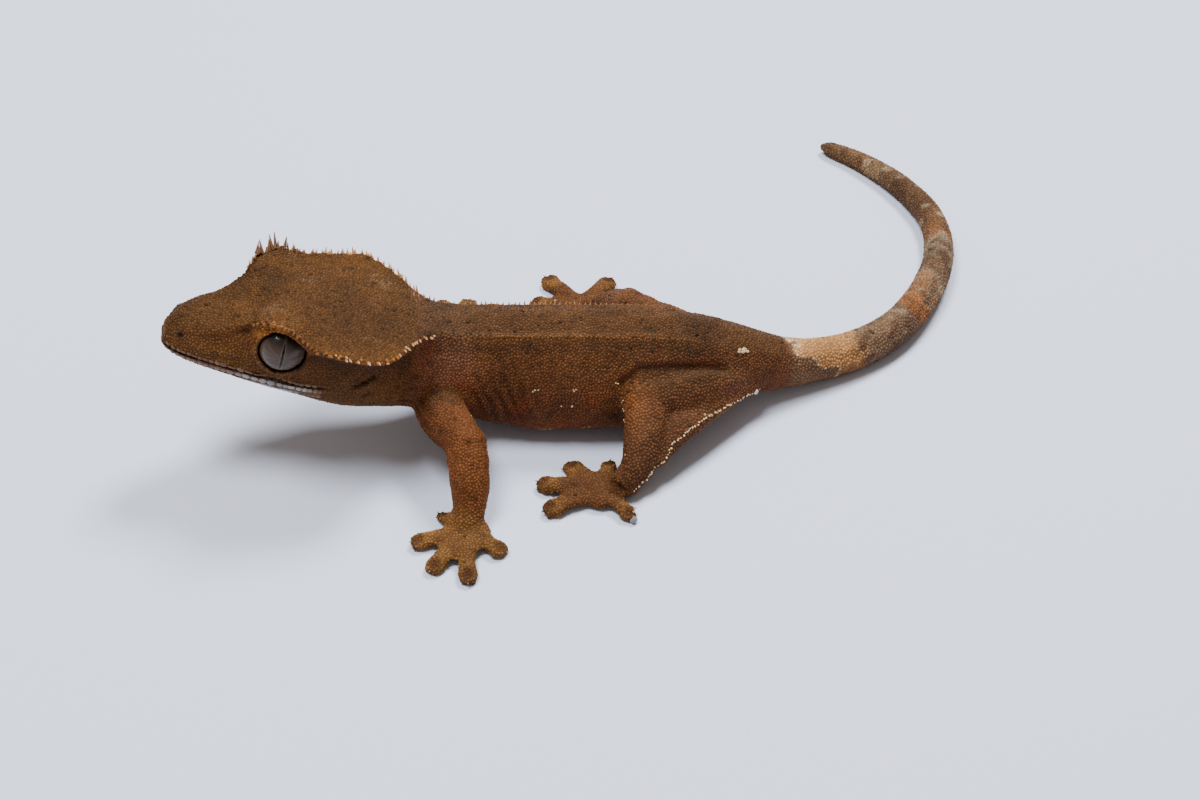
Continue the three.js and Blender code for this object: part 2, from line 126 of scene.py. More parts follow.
SKIN_DEPTH = np.array([0.82, 0.71, 0.56])  # how far the pigment darkens red, green and blue
GAP_PAINTED_SHADE = 0.56  # painted shade: the skin between the granules keeps this share of their brightness, standing in for the shade in the gaps

REGION_COLOURS = {
    "head": linear(112, 73, 40),
    "lower_jaw": linear(92, 66, 45),
    "neck": linear(136, 94, 72),
    "torso": linear(112, 72, 42),
    "hips": linear(106, 68, 40),
    "tail": linear(122, 94, 72),
    "arm": linear(118, 72, 38),
    "hand": linear(124, 87, 47),
    "leg": linear(112, 74, 47),
    "foot": linear(106, 69, 38),
}


def region_of(node):
    if node.startswith("tail"):
        return "tail"
    part = node.removeprefix("left_").removeprefix("right_")
    groups = {"upper_arm": "arm", "forearm": "arm", "thigh": "leg", "shin": "leg"}
    return groups.get(part, part)


# The skin: the flesh nodes closed over their gaps, smoothed and shaped

FLESH = [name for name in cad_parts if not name.startswith("eye")]
SMOOTHING = {
    "head": 0.5, "lower_jaw": 0.5, "hand": 0.22, "foot": 0.22, "arm": 0.6, "leg": 0.6, "tail": 0.7,
}
SMOOTHING_TIMES = 14
GAP_COVER = 0.17 * MM  # each node is fattened by this, so that neighbours meet
VOXEL = 0.34 * MM
COAT_DEPTH = 0.1 * MM  # the room left for the granules


def new_piece(name, mesh, replaced=()):
    piece = bpy.data.objects.new(name, mesh)
    bpy.context.scene.collection.objects.link(piece)
    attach(piece, "root")
    if replaced:
        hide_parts(*replaced)
    return piece


def applied(piece):
    """The piece's mesh with its modifiers worked in."""
    graph = bpy.context.evaluated_depsgraph_get()
    mesh = bpy.data.meshes.new_from_object(piece.evaluated_get(graph), depsgraph=graph)
    piece.modifiers.clear()
    old = piece.data
    piece.data = mesh
    bpy.data.meshes.remove(old)
    return mesh


def flesh_mesh():
    whole = bmesh.new()
    for name in FLESH:
        part = bmesh.new()
        part.from_mesh(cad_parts[name].data)
        bmesh.ops.remove_doubles(part, verts=part.verts, dist=1e-6)
        part.normal_update()
        for vertex in part.verts:
            vertex.co += vertex.normal * GAP_COVER
        step = bpy.data.meshes.new("step")
        part.to_mesh(step)
        whole.from_mesh(step)
        part.free()
        bpy.data.meshes.remove(step)
    mesh = bpy.data.meshes.new("skin")
    whole.to_mesh(mesh)
    whole.free()
    return mesh


def coordinates(mesh):
    flat = np.empty(len(mesh.vertices) * 3, dtype=np.float32)
    mesh.vertices.foreach_get("co", flat)
    return flat.reshape(-1, 3).astype(float) / MM


def set_coordinates(mesh, points):
    mesh.vertices.foreach_set("co", (points * MM).astype(np.float32).ravel())
    mesh.update()


def normals_of(mesh):
    flat = np.empty(len(mesh.vertices) * 3, dtype=np.float32)
    mesh.vertices.foreach_get("normal", flat)
    return flat.reshape(-1, 3).astype(float)


def edges_of(mesh):
    flat = np.empty(len(mesh.edges) * 2, dtype=np.int32)
    mesh.edges.foreach_get("vertices", flat)
    return flat.reshape(-1, 2)


node_tree = KDTree(sum(len(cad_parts[name].data.vertices) for name in FLESH))
node_names = []
for name in FLESH:
    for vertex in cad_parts[name].data.vertices:
        node_tree.insert(vertex.co, len(node_names))
        node_names.append(name)
node_tree.balance()


def nodes_at(points):
    """The name of the flesh node nearest to each point."""
    return [node_names[node_tree.find(point * MM)[1]] for point in points]


skin = new_piece("skin", flesh_mesh(), FLESH)
remesh = skin.modifiers.new("close", "REMESH")
remesh.mode = "VOXEL"
remesh.voxel_size = VOXEL
applied(skin)


def keep_largest(mesh):
    """Deletes the loose crumbs that the remeshing leaves where a spine was thin."""
    shape = bmesh.new()
    shape.from_mesh(mesh)
    unseen = set(shape.verts)
    islands = []
    while unseen:
        front = [unseen.pop()]
        island = list(front)
        while front:
            reached = []
            for vertex in front:
                for edge in vertex.link_edges:
                    other = edge.other_vert(vertex)
                    if other in unseen:
                        unseen.discard(other)
                        reached.append(other)
            island += reached
            front = reached
        islands.append(island)
    islands.sort(key=len)
    crumbs = [vertex for island in islands[:-1] for vertex in island]
    bmesh.ops.delete(shape, geom=crumbs, context="VERTS")
    shape.to_mesh(mesh)
    shape.free()


keep_largest(skin.data)

points = coordinates(skin.data)
regions = np.array([region_of(name) for name in nodes_at(points)])
weights = np.array([SMOOTHING.get(region, 1.0) for region in regions])
group = skin.vertex_groups.new(name="smoothing")
for weight in np.unique(weights):
    group.add([int(i) for i in np.flatnonzero(weights == weight)], float(weight), "REPLACE")
smoothing = skin.modifiers.new("smooth", "SMOOTH")
smoothing.factor = 0.5
smoothing.iterations = SMOOTHING_TIMES
smoothing.vertex_group = "smoothing"
applied(skin)

FINE_REACH = 27.0  # the head, up to here behind the snout tip, has finer faces


def refine_head(mesh):
    shape = bmesh.new()
    shape.from_mesh(mesh)
    tip = np.array(snout_tip)
    back = np.array(to_back)
    chosen = [
        edge
        for edge in shape.edges
        if all((np.array(v.co) / MM - tip) @ back < FINE_REACH for v in edge.verts)
    ]
    bmesh.ops.subdivide_edges(shape, edges=chosen, cuts=1, use_grid_fill=True)
    shape.to_mesh(mesh)
    shape.free()


refine_head(skin.data)


def neighbour_mean(values, edges, times):
    """Each vertex's value averaged with its neighbours', a number of times over."""
    count = np.bincount(edges.ravel(), minlength=len(values))[:, None] + 1
    for _ in range(times):
        total = values.copy()
        np.add.at(total, edges[:, 0], values[edges[:, 1]])
        np.add.at(total, edges[:, 1], values[edges[:, 0]])
        values = total / count
    return values


def mouth_height(along):
    return knots(along, (0, 0.0), (4, -0.05), (10, -0.1), (15, 0.0), (18.5, 0.35))


# The midline of the back, [x, y], and how far out the low ridge runs on each side of it
MIDLINE = [
    (-23, -3.4), (-18.9, -3.0), (-13.5, -2.2), (-7, -1.9), (0, -1.8), (4.8, -1.3), (9.2, -0.6),
    (14, 0.3),
]
RIDGE_OUT = 2.8


def from_midline(spot):
    return np.abs(spot[:, 1] - knots(spot[:, 0], *MIDLINE))


def along_route(spot, route):
    """Each point's distance from a line through the route's places, and how far down the line it is."""
    best = np.full(len(spot), 1e9)
    reached = np.zeros(len(spot))
    start = 0.0
    for a, b in zip(np.array(route)[:-1], np.array(route)[1:]):
        share = np.clip((spot - a) @ (b - a) / np.sum((b - a) ** 2), 0, 1)
        away = np.linalg.norm(spot - a - share[:, None] * (b - a), axis=1)
        run = np.linalg.norm(b - a)
        reached = np.where(away < best, start + share * run, reached)
        best = np.minimum(best, away)
        start += run
    return best, reached


# The crease above the left thigh, the slit of the ear, and the flank's grey-green spots with their sizes
THIGH_CREASE = [
    (2.6, -7.7, 9.4), (4.5, -6.6, 10.6), (8.1, -5.7, 10.2), (12.8, -4.5, 9.2), (14.6, -4.2, 8.6),
]
EAR_SLIT = [(-26.9, -11.8, 12.4), (-24.8, -11.4, 13.5)]
FLANK_SPOTS = [
    ((-11.2, -7.2, 9.8), 0.75), ((-9.5, -7.8, 4.3), 0.6), ((-20.6, -8.9, 11.0), 0.5),
    ((5.8, -3.2, 13.5), 0.7), ((10.2, -4.0, 11.2), 0.8),
]
NOSTRIL = (1.7, 2.1, 2.2)  # behind the snout tip, out from the middle and above the mouth


def from_nostril(along, side, up):
    return np.hypot(np.hypot(along - NOSTRIL[0], side - NOSTRIL[1]), up - NOSTRIL[2])


def crest_width(along):
    return knots(
        along, (6.7, 3.6), (7.9, 4.8), (9.2, 5.9), (12.5, 7.4), (15, 8.7), (18, 9.2), (21.5, 9.7),
        (23.5, 9.1), (26, 6.2), (28.5, 4.0), (32, 3.0),
    )


def crest_height(along):
    return knots(
        along, (6.7, 4.7), (7.8, 6.8), (9.1, 8.1), (12, 8.3), (15, 6.9), (18, 6.8), (22, 7.0), (24, 7.1),
        (26, 7.2), (28.5, 6.8), (31, 6.3),
    )


KNEE = (3.6, -8.6, 7.8)  # the bend of the left hind leg
THIGH_HOLLOW = (8.0, -8.5, 5.8)  # between the thigh and the web of skin behind it

# For each foot, its palm and the middles of its toe pads, seen from above
FEET = [
    ((-14.8, -23.2), [(-20.0, -24.0), (-18.0, -27.9), (-14.3, -29.4), (-10.8, -25.2), (-17.6, -19.8)]),
    ((-1.0, -15.8), [(-3.2, -11.9), (-6.5, -14.8), (-5.8, -18.8), (1.1, -11.6), (3.4, -19.8)]),
    ((-2.5, 17.5), [(-7.9, 16.9), (-6.3, 21.2), (1.0, 20.9)]),
    ((-17.8, 13.0), [(-21.0, 13.9), (-19.7, 16.5), (-15.9, 17.0)]),
]
TOE_TIPS = [toe for _, toes in FEET for toe in toes]


def armpit_folds(spot):
    """The fine wrinkles of the skin behind the arms, from -1 to 1."""
    x, y, z = spot.T
    where = hump(x, -11, 3.4) * hump(z, 6.5, 3.6) * smooth_step(3, 4, from_midline(spot))
    where *= smooth_step(8.9, 8.2, -y)
    return where * np.sin((x * 0.95 + z * 0.3) * 4.6 + 1.2 * mottle(spot, 2.5, 6))


# How far the skin is sunk or lifted, in millimetres
MOUTH_DEPTH = 0.34
UPPER_LIP = 0.13
LOWER_LIP = 0.15
SNOUT_LIFT = 0.5
BROW_CUT = 0.55
CREST_LIFT = 0.3
NOSTRIL_DEPTH = 0.4
NOSTRIL_RIM = 0.12
EAR_DEPTH = 0.6
CREASE_DEPTH = 0.5
RIDGE_LIFT = 0.16
ARMPIT_FOLD = 0.26
CHEST_FOLD = 0.09
PAD_RIM = 0.14
PAD_DEPTH = 0.22
HOLLOW_LIFT = 0.5
TRUNK_UNEVENNESS = 0.05
LID_LIFT = 0.2
EYE_CLEARANCE = 0.12


def shape_skin(mesh):
    """Sinks and lifts the skin for the mouth, nostrils, ears, lids, folds and wrinkles."""
    place = coordinates(mesh)
    normal = normals_of(mesh)
    head = in_head(place)
    spot = place - AIM
    x, _, z = spot.T
    along, side, up = head[:, 0], np.abs(head[:, 1]), head[:, 2]
    lift = np.full(len(place), -(GAP_COVER + COAT_DEPTH) / MM)

    on_mouth = smooth_step(-1.0, 0.2, along) * (1 - smooth_step(16.8, 18.2, along))
    from_line = up - mouth_height(along)
    outer = smooth_step(0.5, 1.0, np.abs(normal @ np.array(to_left))) + hump(along, 0, 1.5)
    lips = np.clip(outer, 0, 1) * on_mouth
    lift -= MOUTH_DEPTH * lips * hump(from_line, 0, 0.16)
    lift += UPPER_LIP * lips * hump(from_line, 0.42, 0.3)
    lift += LOWER_LIP * lips * hump(from_line, -0.42, 0.32)

    snout_top = smooth_step(0.1, 0.6, normal[:, 2]) * smooth_step(1, 4, along) * smooth_step(8.6, 7, along)
    lift += SNOUT_LIFT * snout_top
    brow_front = hump(along, 7.8, 0.85) * smooth_step(2, 4, side) * smooth_step(4, 5.5, up)
    lift -= BROW_CUT * brow_front
    crest_rim = np.hypot(side - crest_width(along), up - crest_height(along))
    on_crest = smooth_step(10, 13, along) * smooth_step(29, 26, along)
    lift += CREST_LIFT * hump(crest_rim, 0, 0.9) * on_crest

    nostril = from_nostril(along, side, up)
    lift -= NOSTRIL_DEPTH * hump(nostril, 0, 0.34)
    lift += NOSTRIL_RIM * hump(nostril, 0.7, 0.3)

    lift -= EAR_DEPTH * hump(along_route(spot, EAR_SLIT)[0], 0, 0.3)
    lift -= CREASE_DEPTH * hump(along_route(spot, THIGH_CREASE)[0], 0, 0.45)
    ridge = hump(from_midline(spot), RIDGE_OUT, 0.3) * smooth_step(9.5, 10.5, z)
    lift += RIDGE_LIFT * ridge * smooth_step(14, 8, x) * smooth_step(-20, -17, x)

    lift += ARMPIT_FOLD * armpit_folds(spot)
    chest = hump(along, 29, 4.5) * hump(up, -2.0, 2.2)
    lift += CHEST_FOLD * chest * np.sin((z + 0.25 * x) * 5.0)
    on_toe_top = smooth_step(0.2, 0.7, normal[:, 2]) * smooth_step(2.4, 1.6, z)
    for toe in TOE_TIPS:
        from_pad = distance_from(spot[:, :2], toe)
        lift += on_toe_top * (PAD_RIM * hump(from_pad, 0.95, 0.25) - PAD_DEPTH * hump(from_pad, 0, 0.6))
    lift += HOLLOW_LIFT * hump(distance_from(spot, THIGH_HOLLOW), 0, 2.4)
    trunk = smooth_step(-16, -12, x) * (1 - smooth_step(12, 18, x))
    lift += TRUNK_UNEVENNESS * trunk * mottle(spot * np.array([1.6, 1, 0.5]), 1.5, 5)
    place += normal * lift[:, None]

    for middle in eye_middles.values():
        away = place - np.array(middle - to_top * EYE_RISE)
        near = smooth_step(EYE_RADIUS + 2.0, EYE_RADIUS + 0.7, np.linalg.norm(away, axis=1))
        place += near[:, None] * (np.array(to_top) * EYE_RISE - away * LID_CLOSING)
        lid = hump(distance_from(place, middle), EYE_RADIUS + 0.5, 0.26)
        place += normal * (LID_LIFT * lid)[:, None]
    clear_radius = EYE_RADIUS + EYE_CLEARANCE
    for middle in eye_middles.values():
        away = place - np.array(middle)
        distance = np.linalg.norm(away, axis=1)
        near = (distance < clear_radius) & (distance > 0.3)
        place[near] += away[near] * (clear_radius / distance[near] - 1)[:, None]
    set_coordinates(mesh, place)


shape_skin(skin.data)
skin.data.shade_smooth()


# The markings, with painted shade in the mouth slit, nostrils, ear, crease and wrinkles, and painted shadow
# under the crest and the back ridge

TAIL_ROUTE = [
    (20, 2.1, 4.2), (29.5, 5.9, 2.5), (35, 10.2, 2.3), (39.3, 16.8, 2.2), (41.9, 24.5, 1.9),
    (41.8, 32.4, 1.7), (38.5, 39.6, 1.4), (33.6, 45.4, 1.1), (28.9, 48.9, 0.9),
]


def blend(base, colour, amount):
    return base * (1 - amount[:, None]) + colour * amount[:, None]


# The tail's bands: where each colour is reached, in millimetres from the tail's base
TAIL_BANDS = [
    (0.0, linear(104, 66, 38)),
    (1.2, linear(112, 72, 42)),
    (2.0, linear(196, 150, 104)),
    (10.0, linear(192, 142, 96)),
    (12.5, linear(132, 108, 88)),
    (19.0, linear(122, 98, 80)),
    (21.0, linear(158, 102, 60)),
    (23.0, linear(140, 102, 72)),
    (25.0, linear(146, 124, 104)),
    (28.0, linear(126, 100, 80)),
    (31.0, linear(104, 78, 58)),
    (34.0, linear(152, 134, 116)),
    (36.5, linear(140, 92, 56)),
    (39.0, linear(108, 80, 58)),
    (49.0, linear(104, 78, 58)),
    (52.5, linear(146, 122, 98)),
    (55.0, linear(114, 86, 62)),
    (63.0, linear(124, 96, 72)),
]


PAINT = {
    "tail_freckle": linear(84, 62, 48),
    "tail_fleck": linear(196, 176, 152),
    "tail_underside": linear(96, 62, 38),
    "tail_edge": linear(228, 208, 184),
    "snout_side": linear(112, 78, 42),
    "crest": linear(160, 108, 44),
    "crest_overhang_painted_shadow": linear(58, 38, 22),
    "chin": linear(104, 78, 56),
    "lips": linear(132, 118, 108),
    "mouth": linear(38, 26, 18),
    "eye_rim": linear(30, 21, 15),
    "lid": linear(172, 114, 52),
    "back": linear(87, 61, 35),
    "flank": linear(132, 82, 54),
    "ridge": linear(140, 98, 56),
    "ridge_painted_shadow": linear(70, 46, 28),
    "belly": linear(104, 72, 50),
    "belly_edge": linear(150, 96, 84),
    "toe": linear(148, 108, 58),
    "toe_pad": linear(74, 46, 24),
    "head_top": linear(85, 57, 24),
    "nape": linear(72, 52, 30),
    "knee": linear(150, 92, 46),
    "crease_painted_shade": linear(48, 30, 18),
    "ear_opening_painted_shade": linear(22, 14, 10),
    "nostril": linear(24, 16, 12),
    "flank_spot": linear(50, 44, 32),
    "wrinkle_painted_shade": linear(58, 36, 24),
    "red_patch": linear(142, 72, 42),
    "dull_patch": linear(86, 56, 40),
    "speck": linear(62, 42, 26),
    "dust": linear(130, 108, 84),
    "dark_spot": linear(44, 30, 20),
}


def tail_bands(spot, facing_up, down, jag):
    """The tail's bands of colour, with freckles and flecks and a darker underside."""
    reach = down + jag + 0.9 * mottle(spot, 3.2, 33)
    stops = [stop for stop, _ in TAIL_BANDS]
    bands = np.stack(
        [np.interp(reach, stops, [shade[i] for _, shade in TAIL_BANDS]) for i in range(3)], axis=1
    )
    freckle = smooth_step(0.2, 0.9, mottle(spot, 0.9, 34)) * smooth_step(8, 11, down)
    bands = blend(bands, PAINT["tail_freckle"], 0.55 * freckle)
    fleck = smooth_step(0.7, 1.3, mottle(spot, 1.3, 35))
    bands = blend(bands, PAINT["tail_fleck"], 0.4 * fleck)
    return blend(bands, PAINT["tail_underside"], 0.6 * smooth_step(0.25, -0.45, facing_up))


def markings(place, normal, base, near_tail):
    """The colour at each point, from the blurred colour of its region."""
    spot = place - AIM
    x, y, z = spot.T
    head = in_head(place)
    along, side, up = head[:, 0], np.abs(head[:, 1]), head[:, 2]
    facing_up = normal[:, 2]
    colour = base.copy()

    def lay(name, amount):
        nonlocal colour
        colour = blend(colour, PAINT[name], amount)

    down = along_route(spot, TAIL_ROUTE)[1]
    jag = 0.9 * mottle(spot, 1.4, 31) + 0.5 * mottle(spot, 0.7, 32)
    edge = down + 0.45 * jag - 1.9 - 5.6 * smooth_step(0.8, 0.0, facing_up)
    bands = tail_bands(spot, facing_up, down, jag)
    colour = blend(colour, bands, near_tail * smooth_step(-0.1, 0.15, edge))
    lay("tail_edge", 0.8 * near_tail * hump(edge, 0.1, 0.22))

    on_head = 1 - smooth_step(26.5, 29, along)
    lay("snout_side", 0.65 * on_head * smooth_step(4.0, 2.0, up))
    crest = on_head * smooth_step(12, 17, along) * smooth_step(5.5, 7, side) * smooth_step(5, 6.5, up)
    lay("crest", 0.5 * crest)
    # Painted shadow under the overhanging crest behind the eye
    crest_overhang_painted_shadow = on_head * smooth_step(13, 16, along) * hump(up, 4.6, 1.3) * smooth_step(5, 6, side)
    lay("crest_overhang_painted_shadow", 0.7 * crest_overhang_painted_shadow)
    lay("chin", 0.6 * on_head * smooth_step(-0.9, -1.9, up))
    from_line = mouth_height(along) - up
    lips = on_head * smooth_step(-0.1, 0.1, from_line) * smooth_step(18, 16.5, along)
    widening = 0.8 * smooth_step(8, 11, along)
    lips *= smooth_step(0.9 + widening, 0.6 + widening, from_line) * smooth_step(2, 9, along)
    lay("lips", 0.85 * lips)
    # Painted shade in the slit of the mouth: a thin dark line along the mouth line
    lay("mouth", 0.4 * on_head * hump(from_line, 0, 0.16) * smooth_step(18.4, 17, along))

    for middle in eye_middles.values():
        distance = distance_from(place, middle)
        lay("eye_rim", on_head * smooth_step(EYE_RADIUS + 0.26, EYE_RADIUS + 0.1, distance))
        lid = on_head * hump(distance, EYE_RADIUS + 0.7, 0.38) * smooth_step(4.6, 6.2, up)
        lay("lid", 0.75 * lid)

    trunk = (1 - on_head) * (1 - near_tail) * smooth_step(8.6, 7.6, from_midline(spot))
    lay("back", 0.7 * trunk * smooth_step(0.45, 0.85, facing_up))
    flank = trunk * smooth_step(0.5, 0.1, facing_up) * smooth_step(-0.8, -0.1, facing_up)
    lay("flank", 0.6 * flank)
    upper_trunk = trunk * smooth_step(10, 11, z)
    ridge = hump(from_midline(spot), RIDGE_OUT, 0.28) * upper_trunk
    lay("ridge", 0.35 * ridge * smooth_step(14, 6, x) * smooth_step(-20, -17, x))
    # Painted shadow along the skin just below the low back ridge
    lay("ridge_painted_shadow", 0.4 * hump(from_midline(spot), RIDGE_OUT + 0.75, 0.4) * upper_trunk)
    lay("belly", 0.6 * smooth_step(-0.3, -0.85, facing_up) * (1 - on_head))
    lay("belly_edge", 0.55 * trunk * hump(z, 1.7, 0.8) * smooth_step(-0.1, -0.5, facing_up))
    low = smooth_step(2.4, 1.6, z)
    for toe in TOE_TIPS:
        from_pad = distance_from(spot[:, :2], toe)
        lay("toe", 0.4 * smooth_step(2.6, 1.6, from_pad) * low)
        lay("toe_pad", 0.75 * smooth_step(1.05, 0.45, from_pad) * low)
    head_top = on_head * smooth_step(0.35, 0.8, facing_up)
    lay("head_top", 0.78 * head_top)
    nape = hump(along, 31, 5.5) * smooth_step(0.3, 0.7, facing_up) * smooth_step(9.5, 11, z)
    lay("nape", 0.5 * nape * (1 - near_tail))
    lay("knee", 0.5 * hump(distance_from(spot, KNEE), 0, 2.3))
    shin = smooth_step(-8.5, -10, y) * smooth_step(1.0, 3.0, x)
    shin *= smooth_step(7, 4.5, z) * smooth_step(1.5, 2.5, z)
    colour *= (1 - 0.2 * shin)[:, None]
    # Painted shade in the crease above the thigh
    lay("crease_painted_shade", 0.75 * hump(along_route(spot, THIGH_CREASE)[0], 0, 0.55))
    # Painted shade in the sunk ear opening
    lay("ear_opening_painted_shade", 0.9 * hump(along_route(spot, EAR_SLIT)[0], 0, 0.42))
    # Painted shade in the sunk nostril openings
    lay("nostril", 0.9 * hump(from_nostril(along, side, up), 0, 0.44) * on_head)
    for middle, size in FLANK_SPOTS:
        ragged = distance_from(spot, middle) / size + 0.35 * mottle(spot, 0.6, 51)
        lay("flank_spot", 0.6 * hump(ragged, 0, 0.8))
    # Painted shade in the troughs of the wrinkles behind the arms
    lay("wrinkle_painted_shade", 0.4 * smooth_step(0.1, -0.6, armpit_folds(spot)) * (1 - on_head))
    patches = mottle(spot, 3.0, 44)
    lay("red_patch", 0.5 * flank * smooth_step(0.1, 1.1, patches))
    lay("dull_patch", 0.4 * flank * smooth_step(0.1, 1.1, -patches))
    lay("speck", 0.35 * smooth_step(0.75, 1.3, mottle(spot, 0.75, 45)) * (1 - near_tail))
    dust = smooth_step(0.7, 1.4, mottle(spot, 2.6, 46)) * smooth_step(-0.4, 0.6, mottle(spot, 0.8, 47))
    lay("dust", 0.22 * dust * head_top)
    colour *= (1 + 0.11 * mottle(spot, 5.5, 41) + 0.08 * mottle(spot, 2.0, 42))[:, None]
    lay("dark_spot", 0.5 * smooth_step(1.5, 1.9, mottle(spot, 1.2, 43)) * (1 - near_tail))
    return np.clip(colour, 0.0, 1.0)


place = coordinates(skin.data)
skin_regions = np.array([region_of(name) for name in nodes_at(place)])
region_base = np.array([REGION_COLOURS[region] for region in skin_regions])
tail_share = (skin_regions == "tail").astype(float)[:, None]
skin_edges = edges_of(skin.data)
soft = neighbour_mean(np.hstack([region_base, tail_share]), skin_edges, 12)
skin_normals = normals_of(skin.data)
skin_colours = markings(place, skin_normals, soft[:, :3], np.clip(soft[:, 3] * 2, 0, 1))


def paint(mesh, colours):
    """Stores a colour for each vertex as the attribute that the materials read."""
    rgba = np.ones((len(colours), 4), dtype=np.float32)
    rgba[:, :3] = colours
    layer = mesh.attributes.new("tint", "FLOAT_COLOR", "POINT")
    layer.data.foreach_set("color", rgba.ravel())


# The bare skin is darkened throughout by the painted shade of the gaps between the granules
paint(skin.data, skin_colours * SKIN_DEPTH * GAP_PAINTED_SHADE)


# Materials

def principled(name, roughness, specular):
    material = bpy.data.materials.new(name)
    material.use_nodes = True
    shader = material.node_tree.nodes["Principled BSDF"]
    shader.inputs["Roughness"].default_value = roughness
    shader.inputs["Specular IOR Level"].default_value = specular
    return material, material.node_tree, shader


GRAIN_SIZE = 0.25  # between the fine bumps of the bare skin
NOISE_SCALE = 900


def tinted(name, roughness, specular, grain=0.0):
    """A finish that takes its colour from the tint attribute, with fine bumps grain deep."""
    material, tree, shader = principled(name, roughness, specular)
    tint = tree.nodes.new("ShaderNodeAttribute")
    tint.attribute_name = "tint"
    where = tree.nodes.new("ShaderNodeTexCoord")
    patches = tree.nodes.new("ShaderNodeTexNoise")
    patches.inputs["Scale"].default_value = NOISE_SCALE
    patches.inputs["Detail"].default_value = 3
    tree.links.new(where.outputs["Object"], patches.inputs["Vector"])
    shade = tree.nodes.new("ShaderNodeMapRange")
    shade.inputs["To Min"].default_value = 0.75
    shade.inputs["To Max"].default_value = 1.25
    tree.links.new(patches.outputs["Fac"], shade.inputs["Value"])
    mix = tree.nodes.new("ShaderNodeVectorMath")
    mix.operation = "SCALE"
    tree.links.new(tint.outputs["Color"], mix.inputs[0])
    tree.links.new(shade.outputs["Result"], mix.inputs["Scale"])
    tree.links.new(mix.outputs["Vector"], shader.inputs["Base Color"])
    if grain:
        cells = tree.nodes.new("ShaderNodeTexVoronoi")
        cells.inputs["Scale"].default_value = 1 / (GRAIN_SIZE * MM)
        tree.links.new(where.outputs["Object"], cells.inputs["Vector"])
        bump = tree.nodes.new("ShaderNodeBump")
        bump.inputs["Strength"].default_value = 0.6
        bump.inputs["Distance"].default_value = grain * MM
        bump.invert = True
        tree.links.new(cells.outputs["Distance"], bump.inputs["Height"])
        tree.links.new(bump.outputs["Normal"], shader.inputs["Normal"])
    return material


skin_finish = tinted("granular_skin", 0.75, grain=0.08, specular=0.1)
bead_finish = tinted("scale_granules", 0.62, specular=0.13)
spine_finish = tinted("spines", 0.55, specular=0.2)
skin.data.materials.append(skin_finish)


# The scale granules: small low domes spread evenly over the skin

def even_points(spacing, selection_name):
    """Points at least spacing millimetres apart on the chosen part of the skin, with their normals."""
    tree = bpy.data.node_groups.new("spread", "GeometryNodeTree")
    tree.interface.new_socket("Geometry", in_out="INPUT", socket_type="NodeSocketGeometry")
    tree.interface.new_socket("Geometry", in_out="OUTPUT", socket_type="NodeSocketGeometry")
    entry = tree.nodes.new("NodeGroupInput")
    leave = tree.nodes.new("NodeGroupOutput")
    chosen = tree.nodes.new("GeometryNodeInputNamedAttribute")
    chosen.data_type = "FLOAT"
    chosen.inputs["Name"].default_value = selection_name
    spread = tree.nodes.new("GeometryNodeDistributePointsOnFaces")
    spread.distribute_method = "POISSON"
    spread.inputs["Distance Min"].default_value = spacing * MM
    spread.inputs["Density Max"].default_value = 3.2 / (spacing * MM) ** 2
    spread.inputs["Seed"].default_value = 3
    store = tree.nodes.new("GeometryNodeStoreNamedAttribute")
    store.data_type = "FLOAT_VECTOR"
    store.domain = "POINT"
    store.inputs["Name"].default_value = "outward"
    to_mesh = tree.nodes.new("GeometryNodePointsToVertices")
    tree.links.new(entry.outputs[0], spread.inputs["Mesh"])
    tree.links.new(chosen.outputs["Attribute"], spread.inputs["Density Factor"])
    tree.links.new(spread.outputs["Points"], store.inputs["Geometry"])
    tree.links.new(spread.outputs["Normal"], store.inputs["Value"])
    tree.links.new(store.outputs["Geometry"], to_mesh.inputs["Points"])
    tree.links.new(to_mesh.outputs["Mesh"], leave.inputs[0])
    spreader = skin.modifiers.new("spread", "NODES")
    spreader.node_group = tree
    graph = bpy.context.evaluated_depsgraph_get()
    result = skin.evaluated_get(graph).data
    count = len(result.vertices)
    where = np.empty(count * 3, dtype=np.float32)
    result.vertices.foreach_get("co", where)
    outward = np.empty(count * 3, dtype=np.float32)
    result.attributes["outward"].data.foreach_get("vector", outward)
    skin.modifiers.remove(spreader)
    bpy.data.node_groups.remove(tree)
    return where.reshape(-1, 3).astype(float) / MM, outward.reshape(-1, 3).astype(float)


def choose(name, weights_by_vertex):
    layer = skin.data.attributes.new(name, "FLOAT", "POINT")
    layer.data.foreach_set("value", weights_by_vertex.astype(np.float32))


def template(segments, top_share):
    """A dome of radius 1 and height 1 on its open rim: its corners and its faces as triangles."""
    shape = bmesh.new()
    bmesh.ops.create_cone(
        shape, cap_ends=True, segments=segments, radius1=1, radius2=top_share, depth=1
    )
    floor_faces = [face for face in shape.faces if face.normal.z < -0.9]
    bmesh.ops.delete(shape, geom=floor_faces, context="FACES_ONLY")
    bmesh.ops.translate(shape, verts=shape.verts, vec=(0, 0, 0.5))
    bmesh.ops.triangulate(shape, faces=shape.faces)
    shape.verts.index_update()
    corners = np.array([vertex.co[:] for vertex in shape.verts])
    faces = np.array([[vertex.index for vertex in face.verts] for face in shape.faces])
    shape.free()
    return corners, faces


def is_top(shape):
    """Which corners of a template are on its top."""
    return shape[0][:, 2] > 0.5


def frames_on(normal, turns):
    """Two directions in the surface for each normal, turned by the angles given."""
    helper = np.where(np.abs(normal[:, 2:3]) < 0.9, [[0.0, 0.0, 1.0]], [[1.0, 0.0, 0.0]])
    first = np.cross(helper, normal)
    first /= np.linalg.norm(first, axis=1, keepdims=True)
    second = np.cross(normal, first)
    cos, sin = np.cos(turns)[:, None], np.sin(turns)[:, None]
    return first * cos + second * sin, second * cos - first * sin


